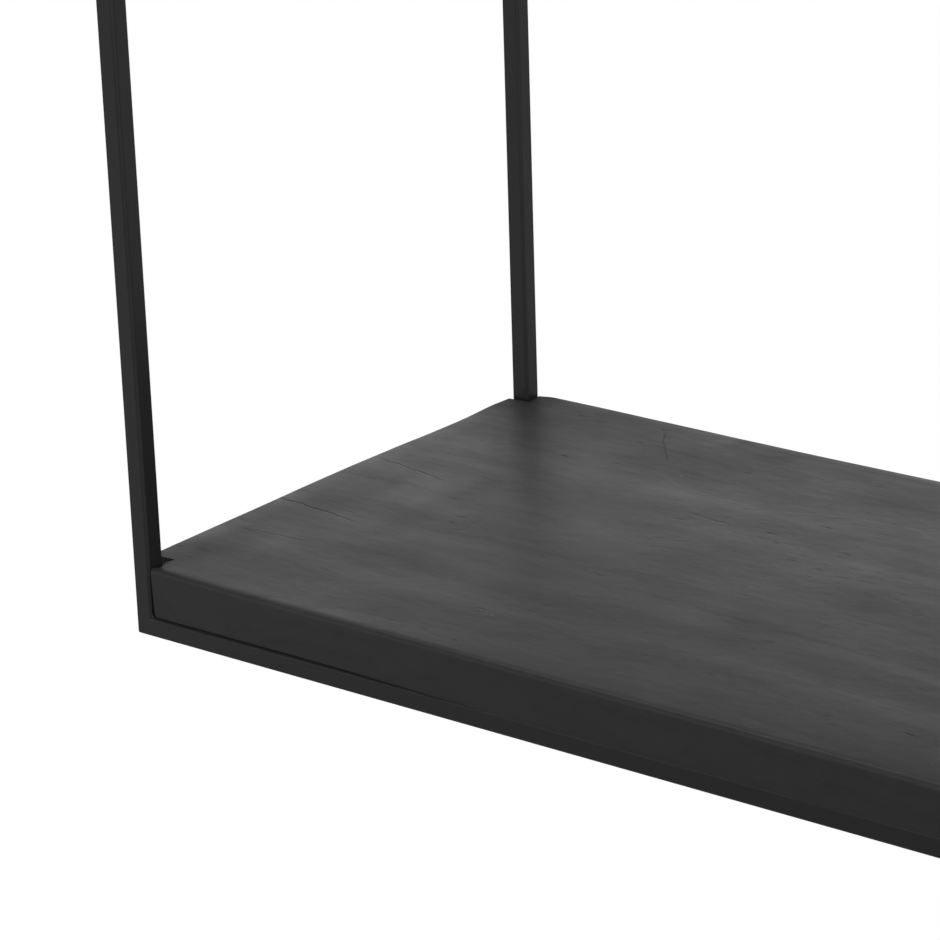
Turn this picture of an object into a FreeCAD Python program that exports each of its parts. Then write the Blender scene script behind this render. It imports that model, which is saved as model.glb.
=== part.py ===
# Wall shelf: a welded frame of square steel tube with one notched wooden board lying in it.
# X runs along the shelf, Y from the room to the wall and Z up. The origin is at the middle
# of the underside. Lengths are in millimetres.
import FreeCAD, Part
import os
import Sketcher

# Every size that can be set by itself
SIZES = {
    # Frame, measured over the outside of its tubes
    "frame_width": 797.0,
    "frame_depth": 300.0,
    "frame_height": 400.0,
    # Square tube
    "tube_width": 10.0,
    "tube_wall": 1.2,
    "tube_bore_radius": 0.5,
    "corner_grind_radius": 3.0,
    # Wooden board
    "board_thickness": 24.0,
    "board_end_overhang": 1.5,
    "board_front_setback": 0.4,
    "board_back_setback": 0.4,
    "board_top_radius": 4.0,
    "board_bottom_radius": 1.5,
    "notch_side_clearance": 1.5,
    "front_notch_clearance": 4.5,
    "back_notch_clearance": 1.5,
    "notch_edge_radius": 1.2,
    # Lugs that the board is screwed down on
    "lug_width": 18.0,
    "lug_hole_reach": 12.0,
    "lug_thickness": 3.0,
    "lug_hole_diameter": 4.6,
    "long_lug_spacing": 500.0,
    # Wood screws
    "screw_length": 20.0,
    "screw_core_diameter": 3.2,
    "screw_tip_length": 4.0,
    "screw_head_diameter": 8.0,
    "screw_crown_diameter": 5.6,
    "screw_head_height": 2.8,
    "screw_rim_height": 1.2,
    "recess_length": 4.4,
    "recess_width": 1.0,
    "recess_depth": 1.6,
    "pilot_clearance": 0.1,
    "pilot_spare_depth": 1.5,
    # Hangers for the wall screws
    "hanger_width": 24.0,
    "hanger_hole_reach": 16.0,
    "hanger_thickness": 3.0,
    "hanger_hole_diameter": 6.0,
    "hanger_end_inset": 48.5,
    # How far each cut runs out past the piece that it cuts
    "cut_overrun": 5.0,
}

# Places that more than one piece is set by, as expressions on the sheet
TUBE_HALF = "sizes.tube_width / 2"
TUBE_RADIUS = "(sizes.tube_bore_radius + sizes.tube_wall)"
POST_X = "(sizes.frame_width - sizes.tube_width) / 2"
POST_Y = "(sizes.frame_depth - sizes.tube_width) / 2"
TOP_RAIL_Z = "(sizes.frame_height - sizes.tube_width / 2)"
LUG_X = "sizes.long_lug_spacing / 2"
LONG_LUG_Y = "(sizes.frame_depth / 2 - sizes.tube_width - sizes.lug_hole_reach)"
SIDE_LUG_X = "(sizes.frame_width / 2 - sizes.tube_width - sizes.lug_hole_reach)"
HANGER_X = "(sizes.frame_width / 2 - sizes.hanger_end_inset)"
BOARD_END = "(sizes.frame_width / 2 + sizes.board_end_overhang)"
BOARD_FRONT = "(sizes.frame_depth / 2 - sizes.board_front_setback)"
BOARD_BACK = "(sizes.frame_depth / 2 - sizes.board_back_setback)"

X_AXIS = FreeCAD.Vector(1, 0, 0)
Y_AXIS = FreeCAD.Vector(0, 1, 0)
Z_AXIS = FreeCAD.Vector(0, 0, 1)

# How a tube lies: its length along one axis and its long mitred side away from the ring's inside
LEFT_POST_TURN = FreeCAD.Rotation()
RIGHT_POST_TURN = FreeCAD.Rotation(Z_AXIS, 180)
BOTTOM_RAIL_TURN = FreeCAD.Rotation(Z_AXIS, -Y_AXIS, X_AXIS, "ZXY")
TOP_RAIL_TURN = FreeCAD.Rotation(-Z_AXIS, Y_AXIS, X_AXIS, "ZXY")
SIDE_RAIL_TURN = FreeCAD.Rotation(X_AXIS, -Z_AXIS, Y_AXIS, "ZXY")

# How a lug's rounded end points, seen from above
LUG_TURNS = {"front": 0, "back": 180, "left": -90, "right": 90}

# The board's six screw places: the lug's name, the side that carries it, and where its hole is
LUG_PLACES = [
    ("front_left_lug", "front", f"-{LUG_X}", f"-{LONG_LUG_Y}"),
    ("front_right_lug", "front", LUG_X, f"-{LONG_LUG_Y}"),
    ("back_left_lug", "back", f"-{LUG_X}", LONG_LUG_Y),
    ("back_right_lug", "back", LUG_X, LONG_LUG_Y),
    ("left_lug", "left", f"-{SIDE_LUG_X}", "0"),
    ("right_lug", "right", SIDE_LUG_X, "0"),
]

document = FreeCAD.newDocument("wall_shelf")


def fill_sheet():
    """Writes each size into a cell of its own, under the size's name."""
    sheet = document.addObject("Spreadsheet::Sheet", "sizes")
    for row, (name, value) in enumerate(SIZES.items(), start=1):
        cell = f"A{row}"
        sheet.set(cell, str(value))
        sheet.setAlias(cell, name)
    document.recompute()


def origin_plane(body, role):
    """Finds one of a body's own origin planes."""
    return next(plane for plane in body.Origin.OriginFeatures if plane.Role == role)


def new_sketch(body, name, role):
    """Starts a sketch on one of a body's own origin planes."""
    sketch = body.newObject("Sketcher::SketchObject", name)
    sketch.AttachmentSupport = [(origin_plane(body, role), "")]
    sketch.MapMode = "FlatFace"
    return sketch


def vector_at(sketch, across, up):
    """Works out where two expressions put a point on a sketch."""
    return FreeCAD.Vector(sketch.evalExpression(across), sketch.evalExpression(up), 0)


def tie(sketch, kind, edge, end, expression):
    """Holds one distance of a sketch point from the sketch's origin at an expression."""
    distance = sketch.evalExpression(expression)
    index = sketch.addConstraint(Sketcher.Constraint(kind, -1, 1, edge, end, distance))
    sketch.setExpression(f"Constraints[{index}]", expression)


def tie_point(sketch, edge, end, across, up):
    """Holds a sketch point at two expressions."""
    tie(sketch, "DistanceX", edge, end, across)
    tie(sketch, "DistanceY", edge, end, up)


def add_edge(sketch, before, corner):
    """Adds the line or arc that runs from one corner to the next, and ties its far end."""
    start = vector_at(sketch, *before[:2])
    end = vector_at(sketch, *corner[:2])
    if len(corner) == 2:
        edge = sketch.addGeometry(Part.LineSegment(start, end), False)
        tie_point(sketch, edge, 2, *corner)
        return edge
    centre = vector_at(sketch, *corner[2])
    circle = Part.Circle(centre, Z_AXIS, centre.distanceToPoint(start))
    edge = sketch.addGeometry(Part.ArcOfCircle(circle, circle.parameter(start), circle.parameter(end)), False)
    tie_point(sketch, edge, 3, *corner[2])
    offset = end - centre
    if abs(offset.y) < abs(offset.x):
        tie(sketch, "DistanceY", edge, 2, corner[1])
    else:
        tie(sketch, "DistanceX", edge, 2, corner[0])
    return edge


def add_outline(sketch, corners):
    """Adds a closed outline of corners, each of them tied to the sheet.

    A corner is its place across and up. Where an arc reaches it anticlockwise, the arc's
    centre follows.
    """
    edges = [add_edge(sketch, before, corner) for before, corner in zip(corners[-1:] + corners, corners)]
    for edge, following in zip(edges, edges[1:] + edges[:1]):
        sketch.addConstraint(Sketcher.Constraint("Coincident", edge, 2, following, 1))


def add_rectangle(sketch, left, right, low, high):
    """Adds a rectangle between four expressions."""
    add_outline(sketch, [(left, low), (right, low), (right, high), (left, high)])


def add_rounded_square(sketch, half, radius):
    """Adds a square with rounded corners, centred on the sketch's origin."""
    flat = f"({half} - {radius})"
    add_outline(sketch, [
        (flat, f"-{half}"),
        (half, f"-{flat}", (flat, f"-{flat}")),
        (half, flat),
        (flat, half, (flat, flat)),
        (f"-{flat}", half),
        (f"-{half}", flat, (f"-{flat}", flat)),
        (f"-{half}", f"-{flat}"),
        (f"-{flat}", f"-{half}", (f"-{flat}", f"-{flat}")),
    ])


def add_circle(sketch, across, up, diameter):
    """Adds a circle with its centre and its diameter tied to the sheet."""
    size = sketch.evalExpression(diameter)
    edge = sketch.addGeometry(Part.Circle(vector_at(sketch, across, up), Z_AXIS, size / 2), False)
    tie_point(sketch, edge, 3, across, up)
    index = sketch.addConstraint(Sketcher.Constraint("Diameter", edge, size))
    sketch.setExpression(f"Constraints[{index}]", diameter)


def add_pad(body, sketch, name, length, sides="One side"):
    """Pads a sketch by an expression."""
    pad = body.newObject("PartDesign::Pad", name)
    pad.Profile = sketch
    pad.SideType = sides
    pad.setExpression("Length", length)
    document.recompute()
    return pad


def add_cut_through(body, sketch, name):
    """Cuts a sketch right through a body, both ways."""
    before = body.Shape.Volume
    pocket = body.newObject("PartDesign::Pocket", name)
    pocket.Profile = sketch
    pocket.Type = "ThroughAll"
    pocket.SideType = "Symmetric"
    check_cut(body, before, name)
    return pocket


def add_mirrored(body, cut, name, role):
    """Repeats a cut on the other side of one of the body's own origin planes."""
    before = body.Shape.Volume
    mirrored = body.newObject("PartDesign::Mirrored", name)
    mirrored.Originals = [cut]
    mirrored.MirrorPlane = (origin_plane(body, role), [""])
    body.Tip = mirrored
    check_cut(body, before, name)


def check_cut(body, before, name):
    """Stops the build where a cut took nothing away."""
    document.recompute()
    if not body.Shape.Volume < before:
        raise RuntimeError(f"{name} cuts nothing")


def add_fillet(body, base, name, radius, chosen):
    """Rounds the edges of a feature that a test picks."""
    names = [f"Edge{number}" for number, edge in enumerate(base.Shape.Edges, start=1) if chosen(edge)]
    fillet = body.newObject("PartDesign::Fillet", name)
    fillet.Base = (base, names)
    fillet.setExpression("Radius", radius)
    document.recompute()
    return fillet


def place(item, rotation, x, y, z):
    """Turns a piece and ties its place to the sheet."""
    item.Placement = FreeCAD.Placement(FreeCAD.Vector(), rotation)
    for axis, expression in zip("xyz", (x, y, z)):
        item.setExpression(f"Placement.Base.{axis}", expression)


def make_tube(label, length):
    """Makes a hollow square tube along its own Z axis, with its middle at its origin."""
    body = document.addObject("PartDesign::Body", label)
    section = new_sketch(body, f"{label}_section", "XY_Plane")
    add_rounded_square(section, f"({TUBE_HALF})", TUBE_RADIUS)
    add_rounded_square(section, f"({TUBE_HALF} - sizes.tube_wall)", "sizes.tube_bore_radius")
    add_pad(body, section, f"{label}_length", length, "Symmetric")
    return body


def mitre_ends(body, length):
    """Cuts a tube's two ends at 45 degrees from its long side at -X, and grinds the tips round."""
    end = f"{length} / 2"
    outside = f"-{TUBE_HALF}"
    grind_across = f"({outside} + sizes.corner_grind_radius)"
    grind_up = f"({end} - sizes.corner_grind_radius)"
    past_inside = f"{TUBE_HALF} + sizes.cut_overrun"
    past_outside = f"{outside} - sizes.cut_overrun"
    past_end = f"{end} + sizes.cut_overrun"
    cut = new_sketch(body, f"{body.Label}_mitre", "XZ_Plane")
    add_outline(cut, [
        (past_inside, f"{end} - sizes.tube_width - sizes.cut_overrun"),
        (f"{grind_across} - sizes.corner_grind_radius * cos(45 deg)",
         f"{grind_up} + sizes.corner_grind_radius * sin(45 deg)"),
        (outside, grind_up, (grind_across, grind_up)),
        (past_outside, grind_up),
        (past_outside, past_end),
        (past_inside, past_end),
    ])
    pocket = add_cut_through(body, cut, f"{body.Label}_upper_mitre")
    add_mirrored(body, pocket, f"{body.Label}_lower_mitre", "XY_Plane")


def make_posts():
    """Makes the four corner posts."""
    posts = []
    for end, depth in (("front", f"-{POST_Y}"), ("back", POST_Y)):
        for side, x, rotation in (("left", f"-{POST_X}", LEFT_POST_TURN), ("right", POST_X, RIGHT_POST_TURN)):
            post = make_tube(f"{end}_{side}_post", "sizes.frame_height")
            mitre_ends(post, "sizes.frame_height")
            place(post, rotation, x, depth, "sizes.frame_height / 2")
            posts.append(post)
    return posts


def make_long_rails():
    """Makes the four rails along the shelf, which close the front ring and the back ring."""
    rails = []
    levels = (("bottom", TUBE_HALF, BOTTOM_RAIL_TURN), ("top", TOP_RAIL_Z, TOP_RAIL_TURN))
    for end, depth in (("front", f"-{POST_Y}"), ("back", POST_Y)):
        for level, z, rotation in levels:
            rail = make_tube(f"{end}_{level}_rail", "sizes.frame_width")
            mitre_ends(rail, "sizes.frame_width")
            place(rail, rotation, "0", depth, z)
            rails.append(rail)
    return rails


def make_side_rails():
    """Makes the four plain rails that run from the front ring to the back ring."""
    rails = []
    for side, x in (("left", f"-{POST_X}"), ("right", POST_X)):
        for level, z in (("bottom", TUBE_HALF), ("top", TOP_RAIL_Z)):
            rail = make_tube(f"{side}_{level}_rail", "sizes.frame_depth - 2 * sizes.tube_width")
            place(rail, SIDE_RAIL_TURN, x, "0", z)
            rails.append(rail)
    return rails


def add_notch(sketch, side, end, face, clearance):
    """Adds the outline of one sawn-out corner, whose mouth rounds off into the board's faces.

    side and end are the corner's signs in X and Y, and face is how far out the board's long
    face lies there.
    """
    radius = "sizes.notch_edge_radius"
    inner = "(sizes.frame_width / 2 - sizes.tube_width - sizes.notch_side_clearance)"
    wall = f"(sizes.frame_depth / 2 - sizes.tube_width - {clearance})"
    past_end = f"({BOARD_END} + sizes.cut_overrun)"
    past_face = f"({face} + sizes.cut_overrun)"
    inner_centre = (f"{side}({inner} - {radius})", f"{end}({face} - {radius})")
    outer_centre = (f"{side}({BOARD_END} - {radius})", f"{end}({wall} - {radius})")
    add_outline(sketch, [
        (f"{side}{past_end}", f"{end}{past_face}"),
        (inner_centre[0], f"{end}{past_face}"),
        (inner_centre[0], f"{end}{face}"),
        (f"{side}{inner}", inner_centre[1], inner_centre),
        (f"{side}{inner}", f"{end}{wall}"),
        (outer_centre[0], f"{end}{wall}"),
        (f"{side}{BOARD_END}", outer_centre[1], outer_centre),
        (f"{side}{past_end}", outer_centre[1]),
    ])


def cut_notches(board):
    """Saws out the board's corners so that it clears the four posts."""
    notches = new_sketch(board, "notches", "XY_Plane")
    add_notch(notches, "", "-", BOARD_FRONT, "sizes.front_notch_clearance")
    add_notch(notches, "-", "", BOARD_BACK, "sizes.back_notch_clearance")
    cut = add_cut_through(board, notches, "notch_cuts")
    add_mirrored(board, cut, "other_notches", "YZ_Plane")


def drill_pilot_holes(board):
    """Drills the blind holes for the screws up into the board's underside."""
    marks = new_sketch(board, "pilot_marks", "XY_Plane")
    for _, _, x, y in LUG_PLACES:
        add_circle(marks, x, y, "sizes.screw_core_diameter + sizes.pilot_clearance")
    before = board.Shape.Volume
    pocket = board.newObject("PartDesign::Pocket", "pilot_holes")
    pocket.Profile = marks
    pocket.Reversed = True
    pocket.setExpression("Length", "sizes.screw_length - sizes.lug_thickness + sizes.pilot_spare_depth")
    check_cut(board, before, pocket.Label)


def make_board():
    """Makes the wooden board: rounded all round, notched at its corners and drilled underneath."""
    board = document.addObject("PartDesign::Body", "shelf_board")
    outline = new_sketch(board, "board_outline", "XY_Plane")
    add_rectangle(outline, f"-{BOARD_END}", BOARD_END, f"-{BOARD_FRONT}", BOARD_BACK)
    blank = add_pad(board, outline, "board_blank", "sizes.board_thickness")
    middle = blank.Shape.BoundBox.Center.z
    upper = add_fillet(board, blank, "top_rounding", "sizes.board_top_radius",
                       lambda edge: edge.BoundBox.ZMin > middle)
    add_fillet(board, upper, "bottom_rounding", "sizes.board_bottom_radius",
               lambda edge: edge.BoundBox.ZMax < middle)
    cut_notches(board)
    drill_pilot_holes(board)
    place(board, FreeCAD.Rotation(), "0", "0", "sizes.tube_width")
    return board


def make_tongue(label, width, reach, thickness, hole_diameter):
    """Makes a flat bar with a round end about its hole, which is at its origin.

    Its square end, which is welded on, lies at -Y.
    """
    body = document.addObject("PartDesign::Body", label)
    half = f"{width} / 2"
    shape = new_sketch(body, f"{label}_shape", "XY_Plane")
    add_outline(shape, [
        (f"-{half}", f"-{reach}"),
        (half, f"-{reach}"),
        (half, "0"),
        (f"-{half}", "0", ("0", "0")),
    ])
    add_circle(shape, "0", "0", hole_diameter)
    add_pad(body, shape, f"{label}_bar", thickness)
    return body


def make_lugs():
    """Makes the six lugs inside the bottom rails, flush with the rails' top."""
    lugs = []
    for label, side, x, y in LUG_PLACES:
        lug = make_tongue(label, "sizes.lug_width", "sizes.lug_hole_reach", "sizes.lug_thickness",
                          "sizes.lug_hole_diameter")
        place(lug, FreeCAD.Rotation(Z_AXIS, LUG_TURNS[side]), x, y, "sizes.tube_width - sizes.lug_thickness")
        lugs.append(lug)
    return lugs


def make_hangers():
    """Makes the two hangers under the back top rail, flush with the frame's back."""
    hangers = []
    for side, x in (("left", f"-{HANGER_X}"), ("right", HANGER_X)):
        hanger = make_tongue(f"{side}_hanger", "sizes.hanger_width", "sizes.hanger_hole_reach",
                             "sizes.hanger_thickness", "sizes.hanger_hole_diameter")
        place(hanger, FreeCAD.Rotation(X_AXIS, -Z_AXIS, Y_AXIS, "ZXY"), x,
              "sizes.frame_depth / 2 - sizes.hanger_thickness",
              "sizes.frame_height - sizes.tube_width - sizes.hanger_hole_reach")
        hangers.append(hanger)
    return hangers


def make_screw():
    """Makes one pan-head wood screw, its head's seat at its origin and its tip at +Z."""
    screw = document.addObject("PartDesign::Body", "one_screw")
    core = "sizes.screw_core_diameter / 2"
    head = "sizes.screw_head_diameter / 2"
    profile = new_sketch(screw, "screw_profile", "XZ_Plane")
    add_outline(profile, [
        ("0", "-sizes.screw_head_height"),
        ("sizes.screw_crown_diameter / 2", "-sizes.screw_head_height"),
        (head, "-sizes.screw_rim_height"),
        (head, "0"),
        (core, "0"),
        (core, "sizes.screw_length - sizes.screw_tip_length"),
        ("0", "sizes.screw_length"),
    ])
    turned = screw.newObject("PartDesign::Revolution", "turned_screw")
    turned.Profile = profile
    turned.ReferenceAxis = (profile, ["V_Axis"])
    document.recompute()
    cut_recess(screw)
    return screw


def cut_recess(screw):
    """Cuts the cross recess into a screw's head."""
    long = "sizes.recess_length / 2"
    short = "sizes.recess_width / 2"
    cross = new_sketch(screw, "recess_shape", "XY_Plane")
    cross.setExpression("AttachmentOffset.Base.z", "-sizes.screw_head_height")
    add_outline(cross, [
        (long, f"-{short}"), (long, short), (short, short), (short, long),
        (f"-{short}", long), (f"-{short}", short), (f"-{long}", short), (f"-{long}", f"-{short}"),
        (f"-{short}", f"-{short}"), (f"-{short}", f"-{long}"), (short, f"-{long}"), (short, f"-{short}"),
    ])
    before = screw.Shape.Volume
    recess = screw.newObject("PartDesign::Pocket", "cross_recess")
    recess.Profile = cross
    recess.Reversed = True
    recess.setExpression("Length", "sizes.recess_depth")
    check_cut(screw, before, recess.Label)


def make_screws():
    """Sets one screw through each lug, as one group of separate solids."""
    screw = make_screw()
    seat = screw.evalExpression("sizes.tube_width - sizes.lug_thickness")
    solids = []
    for _, _, x, y in LUG_PLACES:
        spot = FreeCAD.Vector(screw.evalExpression(x), screw.evalExpression(y), seat)
        solid = screw.Shape.Solids[0].copy()
        solid.translate(spot)
        solids.append(solid)
    group = document.addObject("Part::Feature", "board_screws")
    group.Shape = Part.makeCompound(solids)
    group.Placement = FreeCAD.Placement()
    return group


def write_pieces(pieces):
    """Checks every object of the model and writes each piece to a file under its own name."""
    document.recompute()
    for item in document.Objects:
        if "Invalid" in item.State or "Error" in item.State:
            raise RuntimeError(f"{item.Label} failed: {item.State}")
    for piece in pieces:
        if piece.Shape.isNull() or not piece.Shape.isValid():
            raise RuntimeError(f"{piece.Label} has no sound shape")
    os.makedirs("parts", exist_ok=True)
    for piece in pieces:
        piece.Shape.exportStep(f"parts/{piece.Label}.step")
        print(piece.Label, len(piece.Shape.Solids), round(piece.Shape.Volume, 1))


fill_sheet()
frame = make_posts() + make_long_rails() + make_side_rails()
write_pieces(frame + [make_board()] + make_lugs() + make_hangers() + [make_screws()])
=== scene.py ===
"""A wall shelf, dressed: a welded black steel frame and the black-stained board that lies in it.

X runs along the shelf, Y from the room to the wall and Z up, all in metres.
"""

import logging
import math
from collections.abc import Callable, Iterable, Iterator
from contextlib import contextmanager
from dataclasses import dataclass, replace
from enum import Enum
from typing import Any, Union

import bmesh
import bpy
from mathutils import Euler, Matrix, Vector, noise


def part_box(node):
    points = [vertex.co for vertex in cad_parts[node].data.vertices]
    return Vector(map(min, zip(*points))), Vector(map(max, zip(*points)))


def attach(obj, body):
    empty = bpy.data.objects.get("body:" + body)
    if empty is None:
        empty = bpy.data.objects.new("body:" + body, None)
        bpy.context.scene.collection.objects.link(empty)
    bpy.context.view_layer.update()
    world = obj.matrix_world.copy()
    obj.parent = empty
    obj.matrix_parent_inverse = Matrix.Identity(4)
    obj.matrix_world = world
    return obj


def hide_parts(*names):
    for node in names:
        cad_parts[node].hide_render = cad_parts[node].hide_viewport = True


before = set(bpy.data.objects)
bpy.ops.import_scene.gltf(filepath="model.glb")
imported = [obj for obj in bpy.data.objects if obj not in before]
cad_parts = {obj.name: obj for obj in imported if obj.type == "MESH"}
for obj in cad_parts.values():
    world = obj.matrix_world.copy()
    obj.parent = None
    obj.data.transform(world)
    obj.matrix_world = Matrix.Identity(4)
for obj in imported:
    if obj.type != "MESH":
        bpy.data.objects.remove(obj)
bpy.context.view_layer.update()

Socket = bpy.types.NodeSocket
Piece = bpy.types.Object
Colour = tuple[float, float, float, float]
Point = tuple[float, float, float]
Span = tuple[float, float]

MM = 0.001
TOUCH = 1e-5

log = logging.getLogger("wall_shelf")


class Slot(Enum):
    """The record's finishes."""

    STEEL = "frame_steel"
    WOOD = "board_wood"
    SCREW = "screw_steel"


class Run(Enum):
    """Which way a tube or bar was drawn, and so which way its rub marks run."""

    ALONG_X = (1.0, 0.0, 0.0)
    ALONG_Y = (0.0, 1.0, 0.0)
    ALONG_Z = (0.0, 0.0, 1.0)


@dataclass(frozen=True)
class Cloud:
    """One layer of cloudy noise.

    A cloud is long along its run and wide across it, in metres. Detail is how many finer layers the
    noise has and roughness how strong each is. The shift, in clouds, makes it another noise.
    """

    length: float
    width: float
    detail: float = 2.0
    roughness: float = 0.5
    shift: float = 0.0
    run: Run = Run.ALONG_X

    def sizes(self) -> tuple[float, ...]:
        """Gives how long one cloud is along X, Y and Z."""
        return tuple(self.length if part else self.width for part in self.run.value)


Number = Union["Signal", float]


class Signal:
    """A number that changes over a surface, with arithmetic that adds Math nodes."""

    def __init__(self, nodes: "Nodes", socket: Socket) -> None:
        """Wraps a socket of a node tree."""
        self.nodes = nodes
        self.socket = socket

    def __add__(self, other: Number) -> "Signal":
        """Adds a number."""
        return self.nodes.maths("ADD", self, other)

    __radd__ = __add__

    def __sub__(self, other: Number) -> "Signal":
        """Takes a number away."""
        return self.nodes.maths("SUBTRACT", self, other)

    def __rsub__(self, other: Number) -> "Signal":
        """Takes this away from a number."""
        return self.nodes.maths("SUBTRACT", other, self)

    def __mul__(self, other: Number) -> "Signal":
        """Multiplies by a number."""
        return self.nodes.maths("MULTIPLY", self, other)

    __rmul__ = __mul__

    def __truediv__(self, other: Number) -> "Signal":
        """Divides by a number."""
        return self.nodes.maths("DIVIDE", self, other)

    def __rtruediv__(self, other: Number) -> "Signal":
        """Divides a number by this."""
        return self.nodes.maths("DIVIDE", other, self)

    def size(self) -> "Signal":
        """Gives the number without its sign."""
        return self.nodes.maths("ABSOLUTE", self)

    def rise(self, low: float, high: float) -> "Signal":
        """Goes smoothly from 0 at low to 1 at high, or down where low is the larger."""
        fall = low > high
        node = self.nodes.add(
            "ShaderNodeMapRange",
            {"interpolation_type": "SMOOTHSTEP"},
            {"Value": self, "From Min": min(low, high), "From Max": max(low, high)},
        )
        step = Signal(self.nodes, node.outputs[0])
        return 1.0 - step if fall else step


class Nodes:
    """A node tree that is built by calls, with one method for any node."""

    def __init__(self, tree: bpy.types.NodeTree) -> None:
        """Empties a tree."""
        self.tree = tree
        tree.nodes.clear()

    def add(
        self,
        kind: str,
        settings: dict[str, Any] | None = None,
        sockets: dict[str | int, Any] | None = None,
    ) -> bpy.types.Node:
        """Adds a node of any kind.

        Args:
            kind: The node's type.
            settings: Properties of the node, which are set first.
            sockets: A value, signal or socket for each input, by name or number.

        Returns:
            The node.
        """
        node = self.tree.nodes.new(kind)
        for name, value in (settings or {}).items():
            setattr(node, name, value)
        for name, value in (sockets or {}).items():
            source = value.socket if isinstance(value, Signal) else value
            if isinstance(source, Socket):
                self.tree.links.new(source, node.inputs[name])
            else:
                node.inputs[name].default_value = source
        return node

    def maths(self, operation: str, *numbers: Number) -> Signal:
        """Adds a Math node on up to three numbers."""
        node = self.add("ShaderNodeMath", {"operation": operation}, dict(enumerate(numbers)))
        return Signal(self, node.outputs[0])

    def place(self) -> Socket:
        """Gives the place on the object, in metres."""
        return self.add("ShaderNodeTexCoord").outputs["Object"]

    def axes(self, vector: Socket) -> tuple[Signal, Signal, Signal]:
        """Splits a vector into its X, Y and Z."""
        node = self.add("ShaderNodeSeparateXYZ", sockets={0: vector})
        return tuple(Signal(self, socket) for socket in node.outputs)

    def noise(self, vector: Socket, cloud: Cloud) -> Signal:
        """Adds a layer of cloudy noise at a place, about 0.5."""
        scale = tuple(1.0 / size for size in cloud.sizes())
        scaled = self.add(
            "ShaderNodeMapping",
            {"vector_type": "POINT"},
            {"Vector": vector, "Location": (cloud.shift,) * 3, "Scale": scale},
        )
        node = self.add(
            "ShaderNodeTexNoise",
            sockets={
                "Vector": scaled.outputs[0],
                "Scale": 1.0,
                "Detail": cloud.detail,
                "Roughness": cloud.roughness,
            },
        )
        return Signal(self, node.outputs[0])

    def cells(self, vector: Socket, sizes: Point) -> tuple[Signal, Signal]:
        """Adds scattered cells.

        Args:
            vector: The place.
            sizes: The spacing of the cells along X, Y and Z, in metres.

        Returns:
            How far the cell's middle is, in spacings, and a random number of the cell.
        """
        scaled = self.add(
            "ShaderNodeMapping", sockets={"Vector": vector, "Scale": tuple(1.0 / size for size in sizes)}
        )
        node = self.add("ShaderNodeTexVoronoi", sockets={"Vector": scaled.outputs[0], "Scale": 1.0})
        chance = self.axes(node.outputs["Color"])[0]
        return Signal(self, node.outputs["Distance"]), chance

    def blend(self, factor: Number, first: Colour | Socket, second: Colour | Socket) -> Socket:
        """Mixes two colours.

        Args:
            factor: How much of the second colour there is, from 0 to 1.
            first: The colour at 0.
            second: The colour at 1.

        Returns:
            The mixed colour.
        """
        node = self.add("ShaderNodeMix", {"data_type": "RGBA"}, {0: factor, 6: first, 7: second})
        return node.outputs[2]

    def bump(self, height: Signal, depth: float) -> Socket:
        """Turns a height into a normal, where a height of 1 stands depth metres proud."""
        node = self.add("ShaderNodeBump", sockets={"Height": height, "Distance": depth, "Strength": 1.0})
        return node.outputs[0]


def grey(level: float, warmth: float = 0.0) -> Colour:
    """Gives a grey of a linear level, with a little more red than blue where warmth is above 0."""
    return (level * (1.0 + warmth), level, level * (1.0 - warmth), 1.0)


def finished(name: str, build: Callable[[Nodes], bpy.types.Node]) -> bpy.types.Material:
    """Makes a material.

    Args:
        name: The material's name.
        build: Adds the surface's nodes to a tree and gives the shader.

    Returns:
        The material.
    """
    material = bpy.data.materials.new(name)
    material.use_nodes = True
    nodes = Nodes(material.node_tree)
    surface = build(nodes)
    nodes.add("ShaderNodeOutputMaterial", sockets={"Surface": surface.outputs[0]})
    return material


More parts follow.
